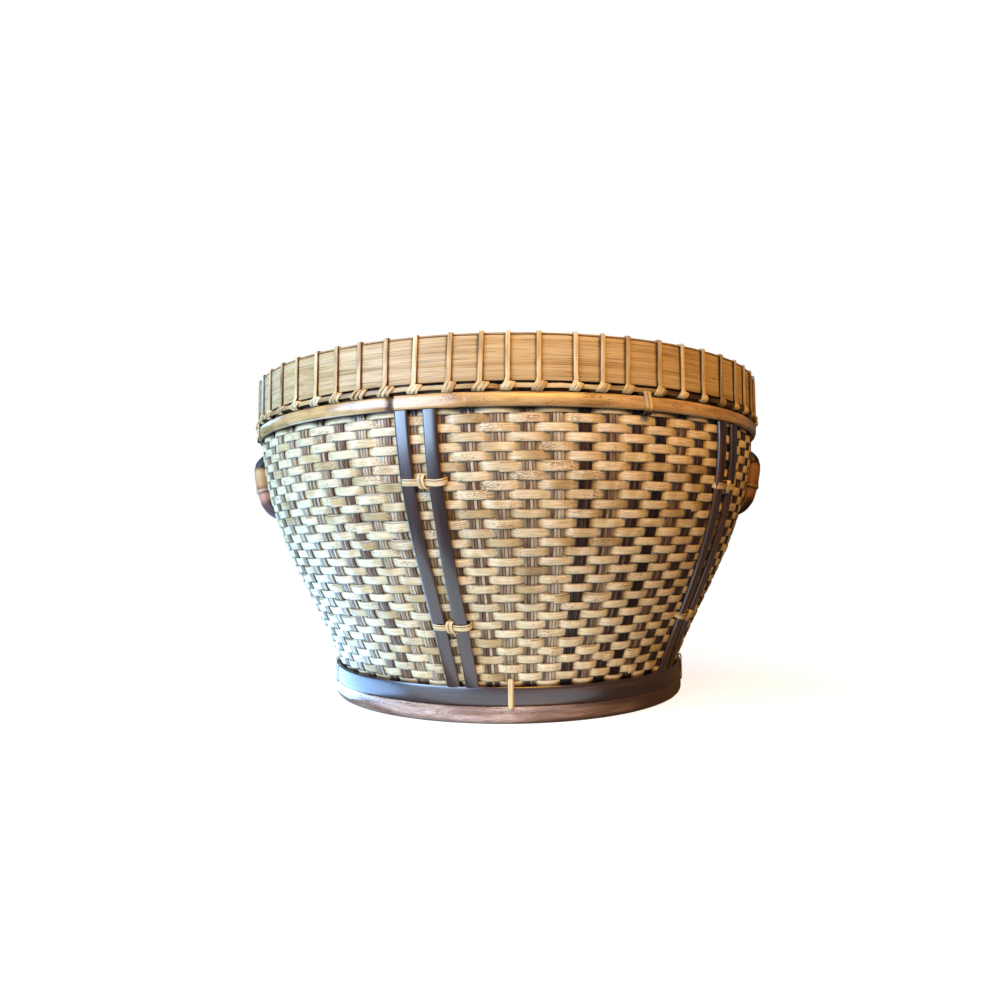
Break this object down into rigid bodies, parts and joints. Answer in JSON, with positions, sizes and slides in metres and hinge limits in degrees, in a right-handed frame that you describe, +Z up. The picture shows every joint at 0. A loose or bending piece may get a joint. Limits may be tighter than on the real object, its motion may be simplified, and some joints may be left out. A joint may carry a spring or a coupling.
{
  "type": "woven bamboo basket",
  "caption": "Round flared woven storage basket with lashed rim bands, paired dark ribs, bent root lugs at the sides and a wooden foot ring.",
  "frame": {"origin": "on the basket's axis at the height of the foot ring's flat underside", "axes": "+Z up along the basket's axis, +X towards the right-hand lug, -Y towards the side that the picture shows"},
  "size_m": [0.4102, 0.3819, 0.2275],
  "materials": {
    "woven_bamboo": "dry split bamboo, matt, plain weave",
    "gold_bamboo": "aged golden bamboo strip, satin, fine lengthwise grain",
    "brown_bamboo": "dark brown bamboo strip, matt",
    "gold_cane": "glossy half-round cane skin",
    "split_cane": "split rattan strand, satin skin side",
    "dark_bamboo": "smoke-darkened bamboo skin, satin",
    "foot_wood": "worn reddish-brown wood",
    "bent_root": "bamboo root with scorched ends, satin"
  },
  "bodies": {
    "root": {"woven_body": "woven_bamboo", "foot_ring": "foot_wood", "base_hoop": "dark_bamboo", "rim_band_outer": "gold_bamboo", "rim_band_inner": "gold_bamboo", "rim_cap_strip": "brown_bamboo", "rim_hoop_outer": "gold_cane", "rim_hoop_inner": "gold_cane", "rim_lashing_1": "split_cane", "rim_lashing_2": "split_cane", "rim_lashing_3": "split_cane", "rim_lashing_4": "split_cane", "rim_lashing_5": "split_cane", "hoop_clip_1": "split_cane", "hoop_clip_2": "split_cane", "hoop_clip_3": "split_cane", "hoop_clip_4": "split_cane", "rib_1a": "dark_bamboo", "rib_1b": "dark_bamboo", "rib_tie_1_upper": "split_cane", "rib_tie_1_lower": "split_cane", "rib_2a": "dark_bamboo", "rib_2b": "dark_bamboo", "rib_tie_2_upper": "split_cane", "rib_tie_2_lower": "split_cane", "rib_3a": "dark_bamboo", "rib_3b": "dark_bamboo", "rib_tie_3_upper": "split_cane", "rib_tie_3_lower": "split_cane", "rib_4a": "dark_bamboo", "rib_4b": "dark_bamboo", "rib_tie_4_upper": "split_cane", "rib_tie_4_lower": "split_cane", "rib_5a": "dark_bamboo", "rib_5b": "dark_bamboo", "rib_tie_5_upper": "split_cane", "rib_tie_5_lower": "split_cane", "rib_6a": "dark_bamboo", "rib_6b": "dark_bamboo", "rib_tie_6_upper": "split_cane", "rib_tie_6_lower": "split_cane", "base_lashing_1": "split_cane", "base_lashing_2": "split_cane", "base_lashing_3": "split_cane", "base_lashing_4": "split_cane", "base_lashing_5": "split_cane", "handle_left": "bent_root", "handle_right": "bent_root"}
  },
  "joints": []
}
